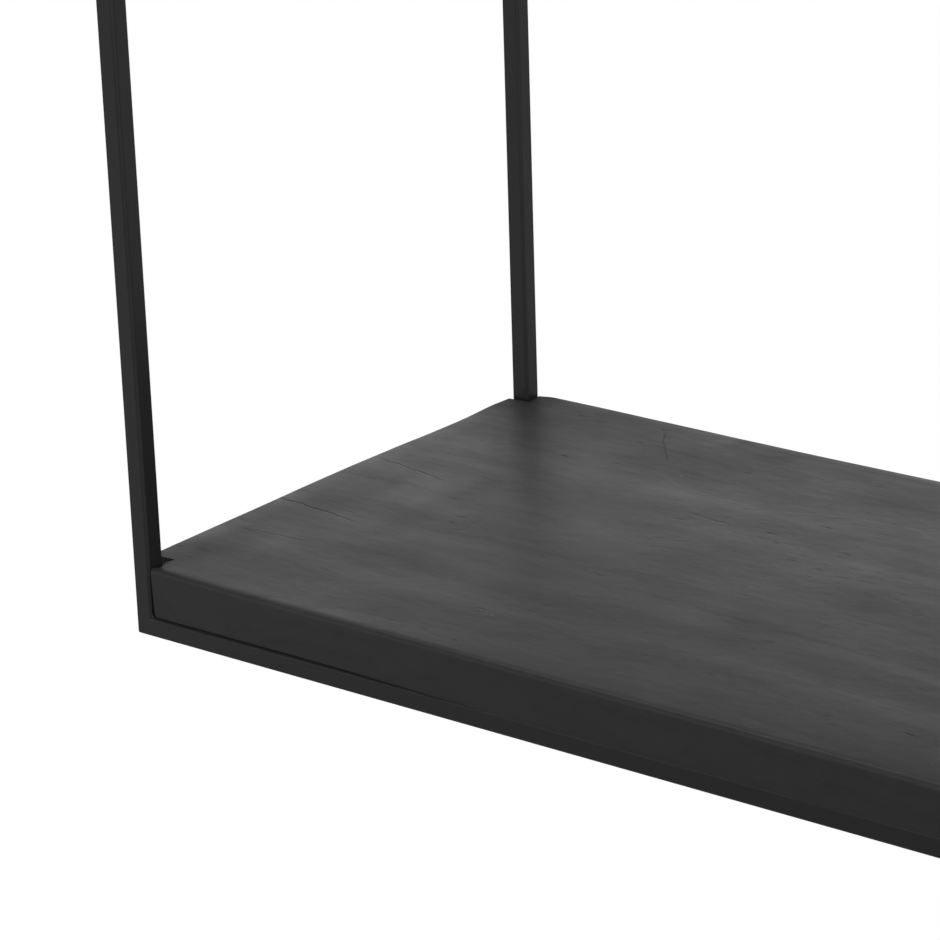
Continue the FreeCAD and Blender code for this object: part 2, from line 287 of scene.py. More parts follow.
@dataclass(frozen=True)
class PaintedSteel:
    """Black powder coat on steel: fine orange peel, soft clouds and faint rub marks."""

    run: Run
    edge: Vector
    board_top: float
    paint: Colour = grey(0.0126, 0.01)
    rubbed: Colour = grey(0.021, -0.01)
    painted_shade: Colour = grey(0.004)
    roughness: float = 0.40
    peel_depth: float = 0.012 * MM
    peel: Cloud = Cloud(0.9 * MM, 0.9 * MM, 1.0)
    grain: Cloud = Cloud(0.35 * MM, 0.35 * MM, 1.0, shift=3.0)
    cloud: Cloud = Cloud(55 * MM, 55 * MM, 3.0, shift=7.0)
    rub: Cloud = Cloud(60 * MM, 1.4 * MM, 3.0, 0.6, 11.0)
    line_edge: Cloud = Cloud(9 * MM, 9 * MM, 3.0, 0.6, 17.0)
    foot_edge: Cloud = Cloud(4 * MM, 4 * MM, 2.0, 0.6, 19.0)
    line_fade: Span = (-0.12, -0.27)
    wall_side: Span = (0.12, 0.13)

    def shade(self, nodes: Nodes) -> bpy.types.Node:
        """Adds the paint's nodes."""
        place = nodes.place()
        peel, grain, cloud = (nodes.noise(place, layer) for layer in (self.peel, self.grain, self.cloud))
        marks = nodes.noise(place, replace(self.rub, run=self.run)).rise(0.56, 0.74) * cloud.rise(0.42, 0.62)
        dust, chance = nodes.cells(place, (14 * MM,) * 3)
        specks = dust.rise(0.045, 0.02) * chance.rise(0.55, 0.6)
        colour = nodes.blend(marks * 0.55 + specks * 0.8, self.paint, self.rubbed)
        # Painted shade: the colour is darkened, and the roughness raised, in the groove above the front rail and
        # on the wall-side posts' feet just above the board.
        stain = self.groove_shade(nodes, place) + self.post_foot_shade(nodes, place)
        colour = nodes.blend(stain, colour, self.painted_shade)
        roughness = self.roughness + (cloud - 0.5) * 0.16 - marks * 0.08 + (grain - 0.5) * 0.08 + stain * 0.4
        height = peel * 0.7 + grain * 0.3
        return nodes.add(
            "ShaderNodeBsdfPrincipled",
            sockets={
                "Base Color": colour,
                "Roughness": roughness,
                "IOR": 1.5,
                "Normal": nodes.bump(height, self.peel_depth),
            },
        )

    def groove_shade(self, nodes: Nodes, place: Socket) -> Signal:
        """Marks painted shade in the groove above the front rail, most under the board's left part."""
        x, y, z = nodes.axes(place)
        start, front, top = self.edge
        uneven = (nodes.noise(place, self.line_edge) - 0.5) * (1.2 * MM)
        line = (z + uneven).rise(top - 1.35 * MM, top - 0.85 * MM) * y.rise(front + 3 * MM, front + 2 * MM)
        line = line * z.rise(top + 0.3 * MM, top + 0.1 * MM) * x.size().rise(-start, -start - 1 * MM)
        return line * (0.45 + 0.55 * x.rise(*self.line_fade))

    def post_foot_shade(self, nodes: Nodes, place: Socket) -> Signal:
        """Marks painted shade on the wall-side posts' feet, in a thin band just above the board's top."""
        _, y, z = nodes.axes(place)
        uneven = (nodes.noise(place, self.foot_edge) - 0.5) * (3 * MM)
        low = (z + uneven).rise(self.board_top + 2.2 * MM, self.board_top + 1.2 * MM)
        return low * z.rise(self.board_top - 3 * MM, self.board_top) * y.rise(*self.wall_side)

    def material(self) -> bpy.types.Material:
        """Makes the material."""
        return finished(f"powder_coat_{self.run.name.lower()}", self.shade)


@dataclass(frozen=True)
class Mark:
    """A long mark on the board's top, as a line that wanders between two places."""

    start: Span
    end: Span
    width: float
    strength: float

    def mask(self, x: Signal, y: Signal, wander: Number) -> Signal:
        """Marks the line, softly towards its sides and ends.

        Args:
            x: The place along the board.
            y: The place across it.
            wander: How far the line is off its straight way, in metres.

        Returns:
            The mark's strength in its middle, and 0 off it.
        """
        way = Vector(self.end) - Vector(self.start)
        length = way.length
        way.normalize()
        east = x - self.start[0]
        north = y - self.start[1]
        along = (east * way.x + north * way.y) / length
        across = (north * way.x - east * way.y + wander).size()
        ends = along.rise(-0.04, 0.14) * along.rise(1.04, 0.86)
        return across.rise(self.width, self.width * 0.25) * ends * self.strength


def total(parts: Iterable[Signal]) -> Signal:
    """Adds several signals up."""
    first, *rest = parts
    for part in rest:
        first = first + part
    return first


@dataclass(frozen=True)
class StainedWood:
    """Black stain and satin oil on an open-grained hardwood board, its grain along X."""

    top: float
    front: float
    post: Vector
    stain: Colour = (0.0172, 0.0164, 0.0188, 1.0)
    bare: Colour = (0.0343, 0.0338, 0.0350, 1.0)
    pore_and_shade: Colour = grey(0.006)
    dust: Colour = grey(0.16)
    roughness: float = 0.47
    sway: float = 34 * MM
    bands: Cloud = Cloud(260 * MM, 15 * MM, 3.0, 0.55, 2.0)
    streaks: Cloud = Cloud(42 * MM, 3.6 * MM, 2.0, 0.5, 4.0)
    fibres: Cloud = Cloud(9 * MM, 1.6 * MM, 1.0, 0.4, 6.0)
    blotches: Cloud = Cloud(34 * MM, 22 * MM, 2.0, 0.5, 8.0)
    mottles: Cloud = Cloud(8 * MM, 6 * MM, 3.0, 0.55, 9.0)
    ripples: Cloud = Cloud(10 * MM, 4.5 * MM, 1.0, 0.4, 13.0)
    sheen: Cloud = Cloud(55 * MM, 38 * MM, 2.0, 0.5, 21.0)
    wander: Cloud = Cloud(14 * MM, 30 * MM, 3.0, 0.6, 5.0)
    slow_sway: Cloud = Cloud(170 * MM, 60 * MM, 1.0)
    long_pores: Cloud = Cloud(9 * MM, 2.6 * MM, 1.0, 0.4, 12.0)
    clusters: Cloud = Cloud(70 * MM, 18 * MM, shift=15.0)
    shade_round_post: Span = (38 * MM, 8 * MM)
    dull_foot: Span = (30 * MM, 6 * MM)
    soft_foot: Span = (85 * MM, 20 * MM)
    oiled_front: Span = (-70 * MM, 30 * MM)
    oiled_back: Span = (105 * MM, 80 * MM)
    oiled_left: Span = (-0.35, -0.25)
    splits: tuple[Mark, ...] = (
        Mark((-0.4030, -0.0438), (-0.3480, -0.0506), 0.8 * MM, 1.0),
        Mark((-0.3960, 0.0266), (-0.3480, 0.0185), 0.7 * MM, 0.8),
        Mark((-0.3900, -0.0867), (-0.3480, -0.0826), 0.7 * MM, 0.5),
        Mark((-0.3006, 0.1365), (-0.2724, 0.1000), 0.9 * MM, 0.45),
        Mark((0.4030, 0.0478), (0.3540, 0.0532), 0.8 * MM, 0.9),
        Mark((0.4000, -0.0288), (0.3600, -0.0337), 0.7 * MM, 0.7),
        Mark((0.1480, 0.0702), (0.2470, 0.0639), 1.2 * MM, 0.35),
    )
    shades: tuple[Mark, ...] = (
        Mark((-0.1950, -0.0510), (-0.1150, -0.0552), 3.0 * MM, 0.8),
        Mark((-0.1250, -0.0547), (-0.0200, -0.0600), 3.2 * MM, 0.7),
        Mark((-0.1300, 0.0118), (-0.0640, 0.0175), 3.0 * MM, 0.6),
        Mark((-0.2190, 0.0100), (-0.2000, 0.0130), 1.8 * MM, 1.0),
        Mark((-0.2230, 0.0457), (-0.1980, 0.0425), 1.8 * MM, 0.9),
        Mark((0.0600, -0.0420), (0.1900, -0.0350), 3.0 * MM, 0.7),
    )
    seams: tuple[Mark, ...] = (
        Mark((-0.3080, 0.0748), (-0.2630, 0.0830), 1.8 * MM, 0.9),
        Mark((-0.2680, 0.0835), (-0.2400, 0.0714), 1.7 * MM, 0.8),
        Mark((-0.2450, 0.0717), (-0.1880, 0.0686), 1.6 * MM, 0.8),
        Mark((-0.1920, 0.0680), (-0.1540, 0.0822), 1.7 * MM, 0.8),
        Mark((-0.1590, 0.0819), (-0.0300, 0.0870), 1.7 * MM, 0.8),
        Mark((-0.0960, -0.0923), (-0.0150, -0.0990), 2.6 * MM, 0.4),
    )
    polish: tuple[Mark, ...] = (
        Mark((-0.3520, -0.0600), (-0.3460, 0.0400), 22 * MM, 1.0),
        Mark((-0.2620, 0.0600), (-0.2200, 0.0440), 22 * MM, 0.35),
        Mark((-0.3950, -0.1500), (-0.3750, -0.0820), 18 * MM, -1.0),
        Mark((-0.2640, 0.1460), (-0.2200, 0.1340), 16 * MM, -0.8),
    )
    open_patch: Mark = Mark((-0.2350, 0.0400), (-0.0450, 0.0050), 36 * MM, 0.9)

    def shade(self, nodes: Nodes) -> bpy.types.Node:
        """Adds the wood's nodes."""
        place = nodes.place()
        x, y, z = nodes.axes(place)
        grain = self.swayed(nodes, place)
        clouds = (self.bands, self.streaks, self.fibres)
        bands, streaks, fibres = (nodes.noise(grain, cloud) for cloud in clouds)
        clouds = (self.blotches, self.mottles, self.ripples, self.sheen)
        blotches, mottles, ripples, sheen = (nodes.noise(place, cloud) for cloud in clouds)
        planed = y.rise(self.front + 1.2 * MM, self.front + 4.5 * MM)
        open_grain = self.open_patch.mask(x, y, 0.0)
        pores = self.pores(nodes, grain, blotches, open_grain) * (0.35 + 0.65 * planed)
        rings = self.rings(nodes, y, z, blotches)
        wander = (nodes.noise(place, self.wander) - 0.5) * (6 * MM)
        upper = z.rise(self.top - 6 * MM, self.top - 3 * MM)
        checks = total(split.mask(x, y, wander) for split in self.splits) * upper
        broken = mottles.rise(0.36, 0.54) * upper
        seam = total(mark.mask(x, y, wander) for mark in self.seams) * broken
        flecks = self.flecks(nodes, place) * planed
        foot = self.near_foot(nodes, x, y)
        detail = 0.45 + 0.55 * planed
        tone = (bands - 0.5) * 0.7 + (streaks - 0.5) * 0.25 + (fibres - 0.5) * 0.06
        tone = tone + (blotches - 0.5) * 0.6 + (mottles - 0.5) * 0.8
        shade = total(mark.mask(x, y, wander) for mark in self.shades) * broken
        polish = total(mark.mask(x, y, wander) for mark in self.polish)
        tone = 0.36 + tone * detail - rings * 0.12 + seam * 0.7 - shade * 0.5 + polish * 0.15
        colour = nodes.blend(tone.rise(0.0, 1.0), self.stain, self.bare)
        dark = nodes.maths("MAXIMUM", pores, checks)
        colour = nodes.blend(dark * 0.3, colour, self.pore_and_shade)
        colour = nodes.blend(flecks * 0.5, colour, self.dust)
        # Painted shade: the colour is darkened round the wall-side posts' feet, where the board meets them.
        colour = nodes.blend(foot.rise(*self.shade_round_post) * 0.8, colour, self.pore_and_shade)
        gloss = (sheen - 0.5) * 0.20 + (mottles - 0.5) * 0.12 - (bands - 0.5) * 0.16
        oiled = y.rise(*self.oiled_front) * y.rise(*self.oiled_back) * x.rise(*self.oiled_left)
        roughness = self.roughness + gloss * detail - oiled * 0.045 - polish * 0.06 + dark * 0.2
        roughness = roughness + foot.rise(*self.dull_foot) * 0.25 + foot.rise(*self.soft_foot) * 0.08
        height = pores * -0.07 - checks * 0.12 + seam * 0.03 - shade * 0.04 - rings * 0.012
        height = height + (streaks * 0.018 + fibres * 0.002 + mottles * 0.09 + ripples * 0.05) * detail
        return nodes.add(
            "ShaderNodeBsdfPrincipled",
            sockets={
                "Base Color": colour,
                "Roughness": roughness,
                "IOR": 1.48,
                "Normal": nodes.bump(height, MM),
            },
        )

    def swayed(self, nodes: Nodes, place: Socket) -> Socket:
        """Gives the place with the grain's slow sway across the board taken out."""
        slow = nodes.noise(place, self.slow_sway)
        shift = nodes.add("ShaderNodeCombineXYZ", sockets={1: (slow - 0.5) * self.sway})
        moved = nodes.add("ShaderNodeVectorMath", {"operation": "ADD"}, {0: place, 1: shift.outputs[0]})
        return moved.outputs[0]

    def pores(self, nodes: Nodes, grain: Socket, blotches: Signal, patch: Signal) -> Signal:
        """Marks the short open pores, which come in clusters and most of all in one patch.

        Args:
            nodes: The tree.
            grain: The place with the grain's sway taken out.
            blotches: Where the pores are filled, at low values.
            patch: 1 in the patch that is full of them.

        Returns:
            1 in a pore and 0 off it.
        """
        long = nodes.noise(grain, self.long_pores)
        cluster = nodes.noise(grain, self.clusters)
        many = nodes.maths("MAXIMUM", cluster.rise(0.50, 0.68), patch)
        return long.rise(0.62, 0.82) * many * (0.4 + 0.6 * blotches.rise(0.35, 0.55))

    def rings(self, nodes: Nodes, y: Signal, z: Signal, drift: Signal) -> Signal:
        """Marks the growth rings, as thin lines at uneven distances from the tree's heart.

        Args:
            nodes: The tree.
            y: The place across the board.
            z: The height.
            drift: How far the rings are off round.

        Returns:
            1 on a ring and 0 off it.
        """
        out = y + 60 * MM
        deep = z + 90 * MM
        reach = nodes.maths("SQRT", out * out + deep * deep) + drift * (30 * MM)
        phase = nodes.maths("FRACT", reach / (11 * MM))
        return phase.rise(0.55, 0.97) * phase.rise(1.0, 0.97)

    def near_foot(self, nodes: Nodes, x: Signal, y: Signal) -> Signal:
        """Gives how far a place is from the nearer wall-side post.

        Near it the board's colour is darkened as painted shade round the post's foot, and its roughness raised.

        Args:
            nodes: The tree.
            x: The place along the board.
            y: The place across it.

        Returns:
            The distance, in metres.
        """
        aside, back = x.size() + self.post[0], y - self.post[1]
        return nodes.maths("SQRT", aside * aside + back * back)

    def flecks(self, nodes: Nodes, place: Socket) -> Signal:
        """Marks a few pale specks of dust in the oil."""
        near, chance = nodes.cells(place, (17 * MM, 11 * MM, 11 * MM))
        return near.rise(0.070, 0.030) * chance.rise(0.84, 0.90)

    def material(self) -> bpy.types.Material:
        """Makes the material."""
        return finished("black_stained_wood", self.shade)


@dataclass(frozen=True)
class PlatedSteel:
    """Bright zinc plate on a screw, duller in places."""

    colour: Colour = grey(0.52, -0.01)
    dull: Colour = grey(0.34, 0.02)
    cloud: Cloud = Cloud(2.5 * MM, 2.5 * MM, 3.0, 0.6)
    grain: Cloud = Cloud(0.25 * MM, 0.25 * MM, 2.0, 0.6, 4.0)

    def shade(self, nodes: Nodes) -> bpy.types.Node:
        """Adds the plate's nodes."""
        place = nodes.place()
        cloud = nodes.noise(place, self.cloud)
        grain = nodes.noise(place, self.grain)
        colour = nodes.blend(cloud.rise(0.35, 0.7), self.colour, self.dull)
        return nodes.add(
            "ShaderNodeBsdfPrincipled",
            sockets={
                "Base Color": colour,
                "Metallic": 1.0,
                "Roughness": 0.30 + (cloud - 0.5) * 0.2 + (grain - 0.5) * 0.1,
                "Normal": nodes.bump(grain, 0.01 * MM),
            },
        )

    def material(self) -> bpy.types.Material:
        """Makes the material."""
        return finished("zinc_plate", self.shade)


def smooth(value: float, low: float, high: float) -> float:
    """Goes smoothly from 0 at low to 1 at high.

    Args:
        value: The number.
        low: Where it starts to rise.
        high: Where it is 1.

    Returns:
        A number from 0 to 1.
    """
    share = min(max((value - low) / (high - low), 0.0), 1.0)
    return share * share * (3.0 - 2.0 * share)


def deselect_all() -> None:
    """Deselects every object."""
    for item in bpy.context.selected_objects:
        item.select_set(False)


def activate(piece: Piece) -> None:
    """Makes one piece the only selected one, and the active one."""
    deselect_all()
    piece.select_set(True)
    bpy.context.view_layer.objects.active = piece


@contextmanager
def editing(piece: Piece) -> Iterator[None]:
    """Opens one piece in edit mode with nothing in it selected."""
    activate(piece)
    bpy.ops.object.mode_set(mode="EDIT")
    bpy.ops.mesh.select_all(action="DESELECT")
    yield
    bpy.ops.object.mode_set(mode="OBJECT")


def pick(piece: Piece, kind: str, test: Callable[[Any], bool]) -> None:
    """Selects the parts of a piece in edit mode that pass a test, and no others.

    Args:
        piece: The piece.
        kind: VERT, EDGE or FACE.
        test: Tells whether a part is wanted. Nothing is selected when it is asked.
    """
    bpy.ops.mesh.select_mode(type=kind)
    bpy.ops.mesh.select_all(action="DESELECT")
    mesh = bmesh.from_edit_mesh(piece.data)
    parts = {"VERT": mesh.verts, "EDGE": mesh.edges, "FACE": mesh.faces}[kind]
    for part in parts:
        if test(part):
            part.select_set(True)
    mesh.select_flush_mode()
    bmesh.update_edit_mesh(piece.data)


def cut_across(at: Iterable[float], normal: Vector) -> None:
    """Cuts the open piece's mesh by planes at distances along a normal, so that it has edges there."""
    for distance in at:
        bpy.ops.mesh.select_all(action="SELECT")
        bpy.ops.mesh.bisect(plane_co=normal * distance, plane_no=normal)


def round_off(radius: float, segments: int) -> None:
    """Rounds off the selected edges."""
    bpy.ops.mesh.bevel(
        offset_type="OFFSET",
        offset=radius,
        segments=segments,
        profile=0.5,
        affect="EDGES",
        clamp_overlap=False,
        miter_outer="ARC",
    )


def newest(name: str) -> Piece:
    """Names the object that an operator has just made, and its mesh."""
    made = bpy.context.view_layer.objects.active
    made.name = name
    made.data.name = name
    return made


def settle(piece: Piece) -> None:
    """Puts a piece's place, turn and scale into its mesh."""
    activate(piece)
    bpy.ops.object.transform_apply(location=True, rotation=True, scale=True)


def copied(piece: Piece) -> Piece:
    """Copies a piece, with a mesh of its own."""
    copy = piece.copy()
    copy.data = piece.data.copy()
    bpy.context.scene.collection.objects.link(copy)
    return copy


def joined(name: str, pieces: list[Piece]) -> Piece:
    """Joins several closed shapes into one named piece."""
    deselect_all()
    for piece in pieces:
        piece.select_set(True)
    bpy.context.view_layer.objects.active = pieces[0]
    bpy.ops.object.join()
    return newest(name)


def smooth_shade(piece: Piece, angle: float) -> None:
    """Shades a piece smoothly, apart from edges sharper than an angle in degrees."""
    activate(piece)
    bpy.ops.object.shade_smooth_by_angle(angle=math.radians(angle))


def hand_over(piece: Piece, slot: Slot, material: bpy.types.Material, node: str = "") -> None:
    """Gives a finished piece its material and its place in the assembly.

    Args:
        piece: The piece.
        slot: The record's finish that it has. It is not used.
        material: Its material.
        node: The node that it stands for, if any.
    """
    piece.data.materials.clear()
    piece.data.materials.append(material)
    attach(piece, "root")
    if node:
        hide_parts(node)
    log.info("%s: %d faces", piece.name, len(piece.data.polygons))


def on_lugs(reach: float) -> Iterator[tuple[Vector, Run, float]]:
    """Goes over the lugs.

    Args:
        reach: How far the wanted place is from the lug's welded end.

    Yields:
        The place, on the lug's underside, which way its weld runs, and how wide the lug is.
    """
    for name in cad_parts:
        if not name.endswith("_lug"):
            continue
        low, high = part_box(name)
        out, run = (0, Run.ALONG_Y) if name in ("left_lug", "right_lug") else (1, Run.ALONG_X)
        place = (low + high) / 2
        place[out] = low[out] + reach if place[out] < 0 else high[out] - reach
        place.z = low.z
        yield place, run, high[1 - out] - low[1 - out]


@dataclass
class Board:
    """The wooden board: notched round the posts, rounded and worn by hand."""

    front_radius: float = 2.4 * MM
    edge_radius: float = 0.7 * MM
    foot_radius: float = 1.1 * MM
    foot_growth: float = 0.5
    post_gap: float = 0.6 * MM
    notch_slant: float = 2.1 * MM
    notch_end_gap: float = 5.2 * MM
    wall_gap: float = 2.0 * MM
    wide_step: float = 5 * MM
    fine_step: float = 1.6 * MM
    fine_reach: float = 24 * MM
    proud: float = 0.36 * MM
    lip: float = 1.05 * MM
    lip_depth: float = 1.6 * MM
    left_lip: float = 0.42 * MM
    roll_drop: float = 1.3 * MM
    roll_reach: float = 42 * MM
    crown_drop: float = 0.9 * MM
    crown_reach: float = 190 * MM
    back_drop: float = 0.4 * MM
    curl_height: float = 1.5 * MM
    curl_reach: float = 55 * MM
    end_lift: float = 0.55 * MM
    end_swell: float = 0.5 * MM
    back_trim: float = 0.45 * MM
    side_drop: float = 1.5 * MM
    side_reach: float = 3.2 * MM
    wall_corner_drop: float = 1.1 * MM
    wall_corner_reach: float = 26 * MM
    end_slant: float = 1.5 * MM
    weld_clearance: float = 1.0 * MM
    weld_height: float = 2.5 * MM
    wave: float = 0.25 * MM
    unworked: float = 6 * MM
    edge_band: float = 14 * MM
    groove_closes: Span = (-0.300, -0.170)
    groove_opens: Span = (0.25, 0.33)

    def __post_init__(self) -> None:
        """Takes the board's faces and the posts' faces from the frame."""
        low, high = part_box("shelf_board")
        self.left, self.front, self.bottom = low
        self.right, self.back, self.top = high
        self.post_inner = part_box("front_left_post")[1].x
        self.post_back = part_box("front_left_post")[1].y
        self.wall_post_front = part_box("back_left_post")[0].y
        self.notch_x = self.post_inner + self.post_gap
        self.front_notch = self.post_back + self.notch_end_gap
        self.back_notch = self.wall_post_front - self.wall_gap

    def build(self) -> Piece:
        """Makes the board."""
        board = self.lay_slab()
        self.round_edges(board)
        self.add_rows(board)
        self.wear(board)
        smooth_shade(board, 32)
        return board

    def lay_slab(self) -> Piece:
        """Lays a flat sheet, saws its corners out and draws it up to the board's thickness."""
        middle = ((self.left + self.right) / 2, (self.front + self.back) / 2, self.bottom)
        bpy.ops.mesh.primitive_plane_add(size=1.0, location=middle)
        board = newest("worked_board")
        board.scale = (self.right - self.left, self.back - self.front, 1.0)
        settle(board)
        with editing(board):
            cut_across((self.notch_x, -self.notch_x), Vector((1, 0, 0)))
            cut_across((self.front_notch, self.back_notch, self.post_back), Vector((0, 1, 0)))
            pick(board, "FACE", self.in_corner)
            bpy.ops.mesh.delete(type="FACE")
            for side in (-1, 1):
                for depth in (self.front_notch, self.back_notch):
                    self.slant_notch(board, side, depth)
            bpy.ops.mesh.select_all(action="SELECT")
            rise = (0.0, 0.0, self.top - self.bottom)
            bpy.ops.mesh.extrude_region_move(TRANSFORM_OT_translate={"value": rise})
            bpy.ops.mesh.select_all(action="SELECT")
            bpy.ops.mesh.normals_make_consistent(inside=False)
        return board

    def in_corner(self, face: Any) -> bool:
        """Tells whether a face of the sheet lies in a corner that is sawn out."""
        middle = face.calc_center_median()
        return abs(middle.x) > -self.notch_x and not self.front_notch < middle.y < self.back_notch

    def slant_notch(self, board: Piece, side: int, depth: float) -> None:
        """Moves a notch's inner corner away from the post, because the saw ran off a little.

        Args:
            board: The flat sheet, in edit mode.
            side: -1 at the left end and 1 at the right.
            depth: Where the notch's inner face is, along Y.
        """
        corner = Vector((side * abs(self.notch_x), depth))
        pick(board, "VERT", lambda vert: (vert.co.xy - corner).length < TOUCH)
        bpy.ops.transform.translate(value=(-side * self.notch_slant, 0.0, 0.0))

    def on_outside(self, edge: Any, height: float) -> bool:
        """Tells whether an edge lies along one of the four outer faces, at a height."""
        a, b = (vert.co for vert in edge.verts)
        if abs(a.z - height) > TOUCH or abs(b.z - height) > TOUCH:
            return False
        faces = ((0, self.left), (0, self.right), (1, self.front), (1, self.back))
        return any(abs(a[axis] - face) < TOUCH and abs(b[axis] - face) < TOUCH for axis, face in faces)

    def round_edges(self, board: Piece) -> None:
        """Rounds the outer edges, the front's most. The sawn notches keep theirs."""
        with editing(board):
            pick(board, "EDGE", lambda edge: self.on_outside(edge, self.top) and self.at_front(edge))
            round_off(self.front_radius, 8)
            pick(board, "EDGE", lambda edge: self.on_outside(edge, self.top) and not self.at_front(edge))
            round_off(self.edge_radius, 5)
            pick(board, "EDGE", lambda edge: self.on_outside(edge, self.bottom))
            round_off(self.foot_radius, 3)

    def at_front(self, edge: Any) -> bool:
        """Tells whether an edge lies along the front face."""
        return all(abs(vert.co.y - self.front) < TOUCH for vert in edge.verts)

    def add_rows(self, board: Piece) -> None:
        """Cuts the mesh into rows, close together near the ends and the front, to be shaped."""
        inner = abs(self.notch_x) - self.notch_slant
        fine = int(self.fine_reach / self.fine_step)
        reach = inner - self.fine_reach
        wide = int(2 * reach / self.wide_step)
        columns = [-reach + 2 * reach * step / wide for step in range(wide + 1)]
        columns += [side * (inner - self.fine_step * step) for side in (-1, 1) for step in range(1, fine)]
        columns += [side * (inner - self.fine_step / 2) for side in (-1, 1)]
        rows = [self.front + self.front_radius + self.fine_step * step for step in range(1, 8)]
        start, end = rows[-1] + self.wide_step, self.back - self.edge_radius - self.wide_step
        steps = int((end - start) / (2 * self.wide_step))
        rows += [start + (end - start) * step / steps for step in range(steps + 1)]
        rows += [self.front + self.lip_depth * share for share in (0.6, 0.8, 1.0)]
        shares = (0.08, 0.14, 0.2, 0.28, 0.4, 0.6, 0.75)
        levels = [self.bottom + (self.top - self.bottom) * share for share in shares]
        with editing(board):
            cut_across(columns, Vector((1, 0, 0)))
            cut_across(rows, Vector((0, 1, 0)))
            cut_across(levels, Vector((0, 0, 1)))

    def wear(self, board: Piece) -> None:
        """Moves the mesh's points to the worn shape."""
        for vert in board.data.vertices:
            vert.co = self.worn(vert.co.copy())
        board.data.update()

    def worn(self, spot: Vector) -> Vector:
        """Gives where a point of the fresh board lies on the worn one."""
        for change in (
            self.swell_front,
            self.close_foot,
            self.bow_top,
            self.waver_edges,
            self.trim_ends,
            self.drop_corners,
            self.clear_welds,
        ):
            spot = change(spot)
        return spot

    def swell_front(self, spot: Vector) -> Vector:
        """Makes the front's upper rounding uneven."""
        inward = spot.y - self.front
        down = self.top - spot.z
        if inward > self.front_radius + TOUCH or down > self.front_radius + TOUCH:
            return spot
        uneven = noise.noise(Vector((spot.x / (22 * MM), 3.1, 0.4)))
        growth = 0.95 + 0.15 * smooth(spot.x, self.left, 0.06) + 0.14 * uneven
        return Vector((spot.x, self.front + inward * growth, self.top - down * growth))

    def close_foot(self, spot: Vector) -> Vector:
        """Lets the groove above the front rail close under a lip, from about a quarter of the way along."""
        inward = spot.y - self.front
        up = spot.z - self.bottom
        if inward > self.lip_depth + TOUCH or up > self.foot_radius + TOUCH:
            return spot
        opens, opened = self.groove_opens
        closed = smooth(spot.x, *self.groove_closes) * smooth(-spot.x, -opened, -opens)
        scale = 1.0 + self.foot_growth * (1.0 - closed)
        if inward <= self.foot_radius + TOUCH:
            scale -= 0.85 * closed
        lip = self.left_lip + (self.lip - self.left_lip) * closed
        sink = lip * max(1.0 - inward * scale / self.lip_depth, 0.0) ** 2
        return Vector((spot.x, self.front + inward * scale, self.bottom + up * scale - sink))

    def bow_top(self, spot: Vector) -> Vector:
        """Rolls the top off towards the front, and curls it up at the left end and the back left corner."""
        height = smooth(spot.z, self.bottom + self.unworked, self.top)
        near = max(1.0 - (spot.y - self.front) / self.roll_reach, 0.0)
        nearer = max(1.0 - (spot.y - self.front) / self.crown_reach, 0.0)
        along = (0.3 + 0.7 * smooth(spot.x, -0.36, 0.06)) * (1.0 - 0.6 * smooth(spot.x, 0.15, 0.38))
        roll = (self.roll_drop * near * near + self.crown_drop * nearer * nearer) * along
        left = 1.0 - smooth(spot.x, self.left + 10 * MM, self.left + 0.21)
        at_back = smooth(spot.y, self.back - self.curl_reach, self.back)
        curl = (self.curl_height * left - self.back_drop * (1.0 - left)) * at_back
        end = 1.0 - smooth(spot.x, self.left, self.left + 0.10)
        lift = self.end_lift * (1.0 - smooth(spot.y, 25 * MM, 95 * MM))
        lift += self.end_swell * smooth(spot.y, -90 * MM, -10 * MM) * (1.0 - smooth(spot.y, 0.0, 80 * MM))
        return spot + Vector((0.0, 0.0, height * (curl + lift * end - roll)))

    def waver_edges(self, spot: Vector) -> Vector:
        """Makes the long faces and the top slightly wavy, as a hand-planed board is."""
        near_front = 1.0 - smooth(spot.y, self.front, self.front + self.edge_band)
        near_back = smooth(spot.y, self.back - self.edge_band, self.back)
        slow = noise.noise(Vector((spot.x / (38 * MM), 0.7, spot.z / (30 * MM))))
        quick = noise.noise(Vector((spot.x / (11 * MM), 9.2, spot.z / (12 * MM))))
        inward = self.wave * max(0.3 + 0.7 * slow + 0.3 * quick, 0.0)
        at_top = smooth(spot.z, self.bottom + self.unworked, self.top)
        roll = noise.noise(Vector((spot.x / (85 * MM), spot.y / (26 * MM), 4.4)))
        chatter = noise.noise(Vector((spot.x / (13 * MM), spot.y / (8 * MM), 7.7)))
        hollow = 0.12 * MM * roll + (0.16 * slow + 0.10 * chatter) * MM * near_front
        foot = self.proud * near_front * (1.0 - at_top * 0.4)
        return spot + Vector((0.0, inward * (near_front * at_top - near_back) - foot, at_top * hollow))

    def trim_ends(self, spot: Vector) -> Vector:
        """Makes the ends a little wavy, and sets the left one in towards the back."""
        side = -1 if spot.x < 0 else 1
        near_end = smooth(abs(spot.x), self.right - 16 * MM, self.right)
        uneven = noise.noise(Vector((spot.y / (24 * MM), 2.0 * side, spot.z / (40 * MM))))
        inward = 0.2 * MM * max(uneven, 0.0)
        if side < 0:
            inward += self.back_trim * smooth(spot.y, 0.0, 0.12)
        return spot - Vector((side * near_end * inward, 0.0, 0.0))

